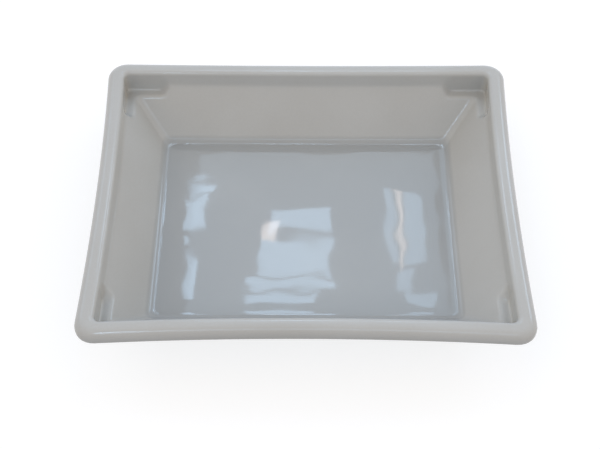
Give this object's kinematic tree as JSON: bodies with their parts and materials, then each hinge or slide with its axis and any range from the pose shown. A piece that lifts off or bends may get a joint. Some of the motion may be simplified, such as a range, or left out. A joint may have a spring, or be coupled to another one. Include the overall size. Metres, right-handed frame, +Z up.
{
  "type": "developing tray",
  "caption": "Deep rectangular developing tray with sloping walls, creased corners, a stacking ledge in each corner and a rolled rim.",
  "frame": {"origin": "centre of the flat underside of the floor", "axes": "+X along the long side, +Y from the front wall to the back wall, +Z up out of the tray"},
  "size_m": [0.4, 0.328, 0.064],
  "materials": {
    "tray_plastic": "glossy off-white moulded plastic, slightly wavy on the flat faces"
  },
  "bodies": {
    "root": {"floor_panel": "tray_plastic", "front_wall": "tray_plastic", "back_wall": "tray_plastic", "left_wall": "tray_plastic", "right_wall": "tray_plastic", "front_left_corner": "tray_plastic", "front_right_corner": "tray_plastic", "back_left_corner": "tray_plastic", "back_right_corner": "tray_plastic", "front_left_ledge": "tray_plastic", "front_right_ledge": "tray_plastic", "back_left_ledge": "tray_plastic", "back_right_ledge": "tray_plastic", "front_rim": "tray_plastic", "back_rim": "tray_plastic", "left_rim": "tray_plastic", "right_rim": "tray_plastic", "front_left_rim_corner": "tray_plastic", "front_right_rim_corner": "tray_plastic", "back_left_rim_corner": "tray_plastic", "back_right_rim_corner": "tray_plastic"}
  },
  "joints": []
}
